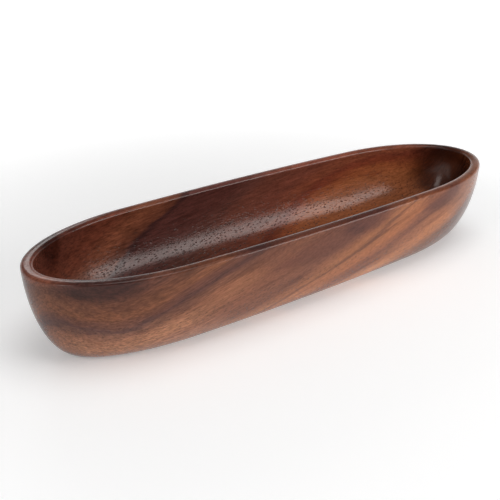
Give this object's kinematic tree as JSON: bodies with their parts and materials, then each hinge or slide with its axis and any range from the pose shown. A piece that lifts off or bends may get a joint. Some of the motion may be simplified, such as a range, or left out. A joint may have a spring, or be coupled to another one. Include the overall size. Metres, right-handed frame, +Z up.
{
  "type": "serving boat",
  "caption": "Long oval wooden serving boat for nuts, olives and snacks: a hollowed trough with rounded ends, an even flat rim and a flat base to stand on",
  "frame": {"origin": "middle of the flat base, on the surface the boat stands on", "axes": "+X along the boat, +Y across it, +Z up"},
  "size_m": [0.305, 0.0886, 0.0517],
  "materials": {
    "acacia": "dark figured hardwood under a thin satin lacquer"
  },
  "bodies": {
    "root": {"bowl": "acacia"}
  },
  "joints": []
}
